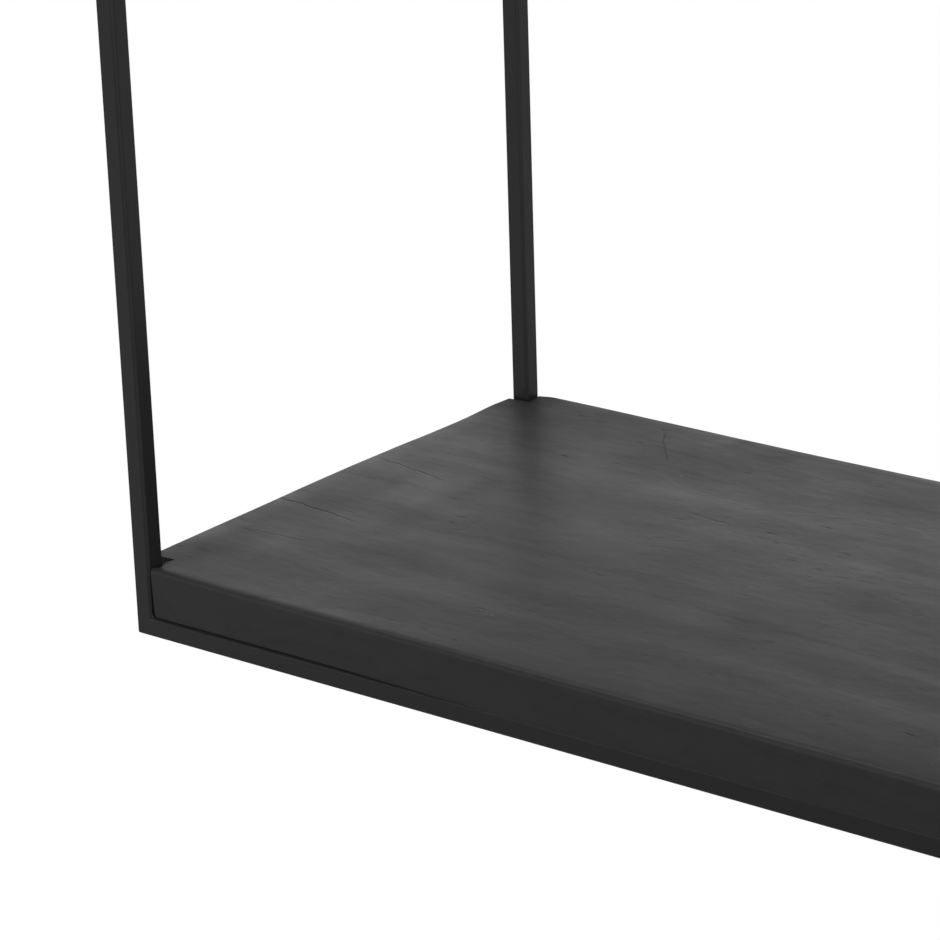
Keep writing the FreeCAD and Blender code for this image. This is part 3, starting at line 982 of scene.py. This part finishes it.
    def drop_corners(self, spot: Vector) -> Vector:
        """Rounds the top off along the front posts, and round the wall-side ones."""
        aside = abs(self.notch_x) - abs(spot.x)
        height = smooth(spot.z, self.top - 9 * MM, self.top)
        beside = max(1.0 - max(aside, 0.0) / self.side_reach, 0.0)
        along = smooth(spot.y, self.front + 1 * MM, self.front + 6 * MM)
        along *= 1.0 - smooth(spot.y, self.front + 6.5 * MM, self.front + 10.5 * MM)
        drop = self.side_drop * beside * beside * along
        across = (abs(self.notch_x) + 5.5 * MM - abs(spot.x)) * 1.6
        away = math.hypot(max(across, across / 1.6), spot.y - self.back + 4.6 * MM)
        drop += self.wall_corner_drop * (1.0 - smooth(away, 5 * MM, self.wall_corner_reach))
        return spot - Vector((0.0, 0.0, drop * height))

    def clear_welds(self, spot: Vector) -> Vector:
        """Slants the board's end away from each post towards its foot, and more over the welds."""
        side = -1 if spot.x < 0 else 1
        face = self.front if spot.y < 0 else self.back
        aside = abs(self.notch_x) - abs(spot.x)
        if aside < -TOUCH:
            return spot
        beside = (1.0 - smooth(aside, 0.0, 8 * MM)) * (1.0 - smooth(abs(spot.y - face), 10 * MM, 17 * MM))
        up = max(spot.z - self.bottom, 0.0)
        slant = self.end_slant * max(1.0 - up / (self.top - self.bottom), 0.0)
        weld = self.weld_clearance * max(1.0 - up / self.weld_height, 0.0) ** 2
        return spot - Vector((side * (slant + weld) * beside, 0.0, 0.0))


@dataclass
class Frame:
    """The welded steel frame: its tubes, its lugs and hangers, and the welds that join them."""

    board_top: float
    bead_radius: float = 2.0 * MM
    bead_sides: int = 16
    ripple: float = 1.5 * MM
    fillet_width: float = 1.5 * MM
    fillet_height: float = 3.2 * MM
    sunk: float = 0.4 * MM
    step_back: float = 0.35 * MM

    def __post_init__(self) -> None:
        """Takes the tubes' places from the frame and makes the paints."""
        self.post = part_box("front_left_post")
        self.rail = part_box("front_bottom_rail")
        edge = Vector((self.post[1].x, self.rail[0].y, self.rail[1].z))
        self.coats = {run: PaintedSteel(run, edge, self.board_top).material() for run in Run}
        self.top_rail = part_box("front_top_rail")
        self.inset = 0.25 * self.bead_radius

    def dress(self) -> None:
        """Gives each steel node the powder coat that runs its own way."""
        for name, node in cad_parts.items():
            if name in ("shelf_board", "board_screws"):
                continue
            run = self.run_of(name)
            for slot in node.material_slots:
                slot.material = self.coats[run]
            log.info("%s: powder coat %s", name, run.name)

    def run_of(self, name: str) -> Run:
        """Tells which way a steel piece runs, by its longest side."""
        low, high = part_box(name)
        sides = list(high - low)
        return list(Run)[sides.index(max(sides))]

    def weld(self) -> None:
        """Lays the welds: filled inner corners, upright beads, and beads along lugs and hangers."""
        for name, pieces in (
            ("corner_welds", self.corner_welds()),
            ("rail_welds", self.rail_welds()),
            ("lug_welds", self.lug_welds()),
            ("hanger_welds", self.hanger_welds()),
        ):
            welds = joined(name, pieces)
            smooth_shade(welds, 40)
            hand_over(welds, Slot.STEEL, self.coats[Run.ALONG_X])

    def corner_welds(self) -> list[Piece]:
        """Fills the inner corner between each post and its rails, a hollow curve seen from the front."""
        inner, floor, ceiling = self.post[1].x, self.rail[1].z, self.top_rail[0].z
        fillet = self.fillet()
        pieces = []
        for flip_x in (1, -1):
            for flip_y in (1, -1):
                for level, flip_z in ((floor, 1), (ceiling, -1)):
                    piece = copied(fillet)
                    turn = Matrix.Diagonal((flip_x, flip_y, flip_z, 1.0))
                    shift = Vector((flip_x * inner, flip_y * self.post[0].y, level))
                    piece.data.transform(Matrix.Translation(shift) @ turn)
                    if flip_x * flip_y * flip_z < 0:
                        piece.data.flip_normals()
                    pieces.append(piece)
        bpy.data.objects.remove(fillet)
        return pieces

    def fillet(self) -> Piece:
        """Makes one filled corner at the origin, for the lower corner of the front left post."""
        width, height = self.fillet_width + self.sunk, self.fillet_height + self.sunk
        depth = self.post[1].y - self.post[0].y - 2 * self.step_back
        middle = (width / 2 - self.sunk, depth / 2 + self.step_back, height / 2 - self.sunk)
        bpy.ops.mesh.primitive_cube_add(size=1.0, location=middle)
        fillet = newest("corner_fillet")
        fillet.scale = (width, depth, height)
        settle(fillet)
        high = middle[2] + height / 2
        right = middle[0] + width / 2
        with editing(fillet):
            pick(
                fillet,
                "EDGE",
                lambda edge: all(abs(v.co.x - right) < TOUCH and abs(v.co.z - high) < TOUCH for v in edge.verts),
            )
            bpy.ops.mesh.bevel(
                offset_type="PERCENT",
                offset_pct=92,
                segments=7,
                profile=0.13,
                affect="EDGES",
                clamp_overlap=False,
            )
            pick(fillet, "EDGE", lambda edge: all(v.co.y < self.step_back + TOUCH for v in edge.verts))
            bpy.ops.mesh.bevel(offset=0.4 * MM, segments=2, profile=0.5, affect="EDGES", clamp_overlap=True)
            bpy.ops.mesh.select_all(action="SELECT")
            bpy.ops.mesh.dissolve_degenerate(threshold=TOUCH)
        return fillet

    def bead(self, length: float) -> Piece:
        """Makes one convex bead along X at the origin, rippled as the torch left it.

        Args:
            length: How long the bead is.

        Returns:
            The bead.
        """
        bpy.ops.mesh.primitive_cylinder_add(
            vertices=self.bead_sides, radius=self.bead_radius, depth=length, rotation=(0.0, math.pi / 2, 0.0)
        )
        bead = newest("weld_bead")
        settle(bead)
        steps = int(length / self.ripple) * 4
        with editing(bead):
            cut_across([-length / 2 + length * step / steps for step in range(1, steps)], Vector((1, 0, 0)))
        for vert in bead.data.vertices:
            along = vert.co.x
            end = smooth(length / 2 - abs(along), -0.6 * MM, 2.0 * MM)
            swell = 1.0 + 0.07 * math.cos(math.tau * along / self.ripple)
            uneven = 1.0 + 0.10 * noise.noise(Vector((along / (3 * MM), 0.5, 0.5)))
            vert.co.y *= swell * uneven * (0.35 + 0.65 * end)
            vert.co.z *= swell * uneven * (0.35 + 0.65 * end)
        return bead

    def laid(self, length: float, run: Run, places: Iterable[Vector]) -> list[Piece]:
        """Copies one bead to several places.

        Args:
            length: The bead's length.
            run: Which way it runs.
            places: The middle of each bead.

        Returns:
            The beads.
        """
        bead = self.bead(length)
        turn = Vector((1.0, 0.0, 0.0)).rotation_difference(Vector(run.value)).to_matrix().to_4x4()
        pieces = []
        for place in places:
            piece = copied(bead)
            piece.data.transform(Matrix.Translation(place) @ turn)
            pieces.append(piece)
        bpy.data.objects.remove(bead)
        return pieces

    def rail_welds(self) -> list[Piece]:
        """Lays an upright bead where each side rail meets a long rail."""
        inner_x, inner_y = self.post[1].x + self.inset, self.post[1].y + self.inset
        tube = self.rail[1].z - self.rail[0].z
        levels = (self.rail[0].z + tube / 2, self.top_rail[0].z + tube / 2)
        corners = [
            Vector((x, y, z))
            for x in (inner_x, -inner_x)
            for y in (inner_y, -inner_y)
            for z in levels
        ]
        return self.laid(tube - 1.6 * MM, Run.ALONG_Z, corners)

    def lug_welds(self) -> list[Piece]:
        """Lays a bead under each lug, along the rail that carries it."""
        pieces = []
        for place, run, width in on_lugs(self.inset):
            place.z -= self.inset
            pieces += self.laid(width - 1 * MM, run, [place])
        return pieces

    def hanger_welds(self) -> list[Piece]:
        """Lays a bead in front of each hanger, under the rail that carries it."""
        places = []
        for name in ("left_hanger", "right_hanger"):
            low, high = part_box(name)
            places.append(Vector(((low.x + high.x) / 2, low.y - self.inset, high.z - self.inset)))
        return self.laid(high.x - low.x - 1 * MM, Run.ALONG_X, places)


@dataclass
class Screws:
    """The six pan-head wood screws that hold the board down on its lugs, heads underneath."""

    hole_reach: float = 12.0 * MM
    head_radius: float = 4.0 * MM
    rim_height: float = 1.2 * MM
    head_height: float = 2.8 * MM
    crown_radius: float = 1.6 * MM
    core_radius: float = 1.5 * MM
    crest_radius: float = 2.1 * MM
    pitch: float = 1.8 * MM
    turns: int = 8
    length: float = 20.0 * MM
    steps: int = 32
    recess_length: float = 4.4 * MM
    recess_width: float = 1.0 * MM
    recess_depth: float = 1.7 * MM

    def build(self) -> None:
        """Makes one screw, copies it to the lugs' holes and hands the set over."""
        screw = self.one_screw()
        pieces = []
        for number, place in enumerate(self.places()):
            piece = copied(screw)
            turn = Matrix.Rotation(0.7 + 1.9 * number, 4, "Z")
            piece.data.transform(Matrix.Translation(place) @ turn)
            pieces.append(piece)
        bpy.data.objects.remove(screw)
        screws = joined("turned_screws", pieces)
        smooth_shade(screws, 35)
        hand_over(screws, Slot.SCREW, PlatedSteel().material(), "board_screws")

    def places(self) -> list[Vector]:
        """Gives the middle of each lug's hole, on its underside."""
        return [place for place, _, _ in on_lugs(self.hole_reach)]

    def one_screw(self) -> Piece:
        """Makes a screw at the origin, its head's seat at Z 0 and its tip up."""
        head = self.head()
        self.cut_recess(head)
        return joined("pan_head_screw", [head, self.shank(), self.tip()])

    def head(self) -> Piece:
        """Turns the head: a short rim and a dome that flattens to the crown."""
        bpy.ops.mesh.primitive_cylinder_add(
            vertices=self.steps,
            radius=self.head_radius,
            depth=self.head_height,
            location=(0, 0, -self.head_height / 2),
        )
        head = newest("screw_head")
        settle(head)
        dome = self.head_height - self.rim_height
        shares = (0.0, 0.15, 0.3, 0.45, 0.6, 0.72, 0.82, 0.9, 0.96)
        cuts = [-self.rim_height - dome * share for share in shares]
        with editing(head):
            cut_across(cuts, Vector((0, 0, 1)))
        for vert in head.data.vertices:
            below = max(-vert.co.z - self.rim_height, 0.0) / dome
            spread = math.sqrt(max(1.0 - below * below, 0.0))
            radius = self.crown_radius + (self.head_radius - self.crown_radius) * spread
            vert.co.x *= radius / self.head_radius
            vert.co.y *= radius / self.head_radius
        with editing(head):
            pick(head, "EDGE", lambda edge: all(abs(v.co.z) < TOUCH for v in edge.verts))
            bpy.ops.mesh.bevel(offset=0.2 * MM, segments=2, affect="EDGES")
        return head

    def cut_recess(self, head: Piece) -> None:
        """Cuts the cross recess into the crown."""
        low = -self.head_height - 0.5 * MM
        high = -self.head_height + self.recess_depth
        arms = []
        for turn in (0.0, math.pi / 2):
            bpy.ops.mesh.primitive_cube_add(size=1.0, location=(0, 0, (low + high) / 2))
            arm = newest("recess_arm")
            arm.scale = (self.recess_length, self.recess_width, high - low)
            settle(arm)
            with editing(arm):
                pick(arm, "VERT", lambda vert: vert.co.z > high - TOUCH)
                bpy.ops.transform.resize(value=(0.35, 0.8, 1.0), center_override=(0, 0, high))
            arm.data.transform(Matrix.Rotation(turn, 4, "Z"))
            arms.append(arm)
        for arm in arms:
            cut = head.modifiers.new("recess", "BOOLEAN")
            cut.operation = "DIFFERENCE"
            cut.solver = "EXACT"
            cut.object = arm
            activate(head)
            bpy.ops.object.modifier_apply(modifier=cut.name)
            bpy.data.objects.remove(arm)

    def shank(self) -> Piece:
        """Winds the thread up from the head."""
        bpy.ops.mesh.primitive_plane_add(size=1.0)
        thread = newest("screw_thread")
        with editing(thread):
            bpy.ops.mesh.select_all(action="SELECT")
            bpy.ops.mesh.delete(type="VERT")
        profile = bmesh.new()
        core, crest = self.core_radius, self.crest_radius
        points = ((core, 0.0), (core, 0.35), (crest, 0.5), (core, 0.65), (core, 1.0))
        spots = [profile.verts.new((radius, 0.0, share * self.pitch)) for radius, share in points]
        for first, second in zip(spots, spots[1:]):
            profile.edges.new((first, second))
        profile.to_mesh(thread.data)
        profile.free()
        wind = thread.modifiers.new("thread", "SCREW")
        wind.axis = "Z"
        wind.angle = math.tau
        wind.screw_offset = self.pitch
        wind.iterations = self.turns
        wind.steps = wind.render_steps = self.steps // 2
        wind.use_merge_vertices = True
        wind.merge_threshold = TOUCH
        activate(thread)
        bpy.ops.object.modifier_apply(modifier=wind.name)
        with editing(thread):
            bpy.ops.mesh.select_all(action="SELECT")
            bpy.ops.mesh.remove_doubles(threshold=TOUCH)
            bpy.ops.mesh.fill_holes(sides=0)
            bpy.ops.mesh.select_all(action="SELECT")
            bpy.ops.mesh.normals_make_consistent(inside=False)
        solid = bmesh.new()
        solid.from_mesh(thread.data)
        if solid.calc_volume(signed=True) < 0.0:
            thread.data.flip_normals()
        solid.free()
        return thread

    def tip(self) -> Piece:
        """Grinds the point above the thread."""
        low = self.turns * self.pitch
        bpy.ops.mesh.primitive_cone_add(
            vertices=self.steps // 2,
            radius1=self.core_radius,
            radius2=0.2 * MM,
            depth=self.length - low,
            location=(0, 0, (self.length + low) / 2),
        )
        tip = newest("screw_tip")
        settle(tip)
        with editing(tip):
            cut_across((low + 0.5 * (self.length - low),), Vector((0, 0, 1)))
            pick(tip, "VERT", lambda vert: low + TOUCH < vert.co.z < self.length - TOUCH)
            bpy.ops.transform.resize(value=(1.25, 1.25, 1.0), center_override=(0, 0, low))
        return tip


def seen_straight(nodes: Nodes) -> Signal:
    """Tells whether the camera sees a place straight, or through something clear."""
    path = nodes.add("ShaderNodeLightPath")
    return Signal(nodes, path.outputs["Is Camera Ray"]) + Signal(nodes, path.outputs["Is Transmission Ray"])


@dataclass(frozen=True)
class Lamp:
    """A square soft lamp that looks at a point, as bright as its level, where 1 is white."""

    name: str
    place: Point
    target: Point
    size: float
    level: float

    def light(self) -> None:
        """Hangs the lamp."""
        data = bpy.data.lights.new(self.name, "AREA")
        data.shape = "SQUARE"
        data.size = self.size
        data.energy = self.level * math.pi * self.size * self.size
        lamp = bpy.data.objects.new(self.name, data)
        lamp.visible_camera = False
        bpy.context.scene.collection.objects.link(lamp)
        way = Vector(self.target) - Vector(self.place)
        lamp.location = self.place
        lamp.rotation_euler = way.to_track_quat("-Z", "Y").to_euler()


@dataclass(frozen=True)
class Glow:
    """A soft patch of light in the surround, as seen from the shelf.

    Its azimuth goes round from the room's side towards the shelf's right end, in degrees.
    """

    azimuth: float
    height: float
    level: float
    tightness: float = 8.0

    def shine(self, nodes: Nodes, place: Socket) -> Signal:
        """Gives how bright the patch is in the direction of a place."""
        round_by, up_by = math.radians(self.azimuth), math.radians(self.height)
        way = (math.sin(round_by) * math.cos(up_by), -math.cos(round_by) * math.cos(up_by), math.sin(up_by))
        dot = nodes.add("ShaderNodeVectorMath", {"operation": "DOT_PRODUCT"}, {0: place, 1: way})
        nearness = (Signal(nodes, dot.outputs["Value"]) - 1.0) * self.tightness
        return nodes.maths("EXPONENT", nearness) * self.level


@dataclass
class Studio:
    """The room: a pale floor well below the hanging shelf, a white surround, lamps and the camera."""

    floor_height: float = -0.9
    floor_size: float = 40.0
    lens: float = 131.08
    camera_place: Point = (0.63942, -1.20887, 0.59183)
    camera_turn: Point = (70.664, 1.7614, 37.745)
    lamps: tuple[Lamp, ...] = (
        Lamp("low_left_lamp", (-1.6, -1.3, -0.35), (-0.25, -0.1, 0.02), 0.8, 0.40),
        Lamp("near_left_lamp", (-0.75, -0.05, 1.0), (-0.25, 0.0, 0.02), 0.5, 1.94),
        Lamp("upper_lamp", (-0.1, 0.1, 2.2), (0.0, 0.0, 0.0), 1.2, 2.87),
        Lamp("upper_right_lamp", (0.9, 0.2, 2.0), (-0.1, 0.0, 0.0), 1.2, 2.08),
        Lamp("right_lamp", (1.7, -0.6, 0.1), (-0.2, 0.0, 0.05), 0.8, 0.87),
        Lamp("wall_right_lamp", (0.45, 0.95, -0.05), (-0.39, 0.145, 0.15), 0.5, 0.55),
        Lamp("wall_low_lamp", (-0.75, 1.2, 0.25), (-0.2, 0.0, 0.02), 0.5, 0.49),
        Lamp("wall_corner_lamp", (-0.90, 0.55, 0.15), (-0.25, 0.0, 0.03), 0.36, 0.62),
    )
    glows: tuple[Glow, ...] = (
        Glow(0, 6, 1.02),
        Glow(45, 6, 1.53),
        Glow(90, 6, 0.27),
        Glow(270, 6, 0.25),
        Glow(315, 6, 0.67),
        Glow(90, 42, 0.94),
        Glow(200, 8, 1.10, 24.0),
        Glow(215, 3, 0.33, 24.0),
        Glow(232, 6, 0.94, 24.0),
    )
    floor_paint: float = 0.5

    def build(self) -> None:
        """Sets the room up round the shelf."""
        scene = bpy.context.scene
        scene.view_settings.view_transform = "Standard"
        self.lay_floor()
        self.surround(scene)
        for lamp in self.lamps:
            lamp.light()
        self.place_camera(scene)

    def lay_floor(self) -> None:
        """Lays the floor, which the camera sees as white with the shelf's shadow on it."""
        bpy.ops.mesh.primitive_plane_add(size=self.floor_size, location=(0.0, 0.0, self.floor_height))
        floor = newest("studio_floor")
        settle(floor)
        floor.data.materials.append(finished("pale_floor", self.shade_floor))

    def shade_floor(self, nodes: Nodes) -> bpy.types.Node:
        """Adds the floor's nodes: matt paint that the camera sees lit up to white."""
        paint = nodes.add("ShaderNodeBsdfDiffuse", sockets={"Color": grey(self.floor_paint)})
        white = nodes.add("ShaderNodeEmission", sockets={"Color": grey(1.0), "Strength": 1.07})
        seen = seen_straight(nodes)
        shaders = {0: seen * 0.92, 1: paint.outputs[0], 2: white.outputs[0]}
        return nodes.add("ShaderNodeMixShader", sockets=shaders)

    def surround(self, scene: bpy.types.Scene) -> None:
        """Makes the surround: white to the camera, and to the shelf patches of light."""
        world = bpy.data.worlds.new("studio")
        scene.world = world
        world.use_nodes = True
        nodes = Nodes(world.node_tree)
        place = nodes.add("ShaderNodeTexCoord").outputs["Generated"]
        level = total(glow.shine(nodes, place) for glow in self.glows)
        seen = seen_straight(nodes)
        lit = nodes.add("ShaderNodeBackground", sockets={"Color": grey(1.0), "Strength": level})
        white = nodes.add("ShaderNodeBackground", sockets={"Color": grey(1.0), "Strength": 1.0})
        both = nodes.add("ShaderNodeMixShader", sockets={0: seen, 1: lit.outputs[0], 2: white.outputs[0]})
        nodes.add("ShaderNodeOutputWorld", sockets={"Surface": both.outputs[0]})

    def place_camera(self, scene: bpy.types.Scene) -> None:
        """Puts the camera where the photograph was taken from."""
        data = bpy.data.cameras.new("camera")
        data.lens = self.lens
        data.sensor_width = 36.0
        data.clip_start = 0.05
        data.clip_end = 100.0
        camera = bpy.data.objects.new("camera", data)
        scene.collection.objects.link(camera)
        turn = Euler([math.radians(angle) for angle in self.camera_turn])
        camera.matrix_world = Matrix.Translation(self.camera_place) @ turn.to_matrix().to_4x4()
        scene.camera = camera


def main() -> None:
    """Builds and dresses the shelf, and sets the studio up."""
    logging.basicConfig(level=logging.INFO, format="%(name)s: %(message)s")
    board = Board()
    post = sum(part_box("back_left_post"), Vector()) / 2
    wood = StainedWood(board.top, board.front, post).material()
    hand_over(board.build(), Slot.WOOD, wood, "shelf_board")
    steel = Frame(board.top)
    steel.dress()
    steel.weld()
    Screws().build()
    Studio().build()


if __name__ == "__main__":
    main()
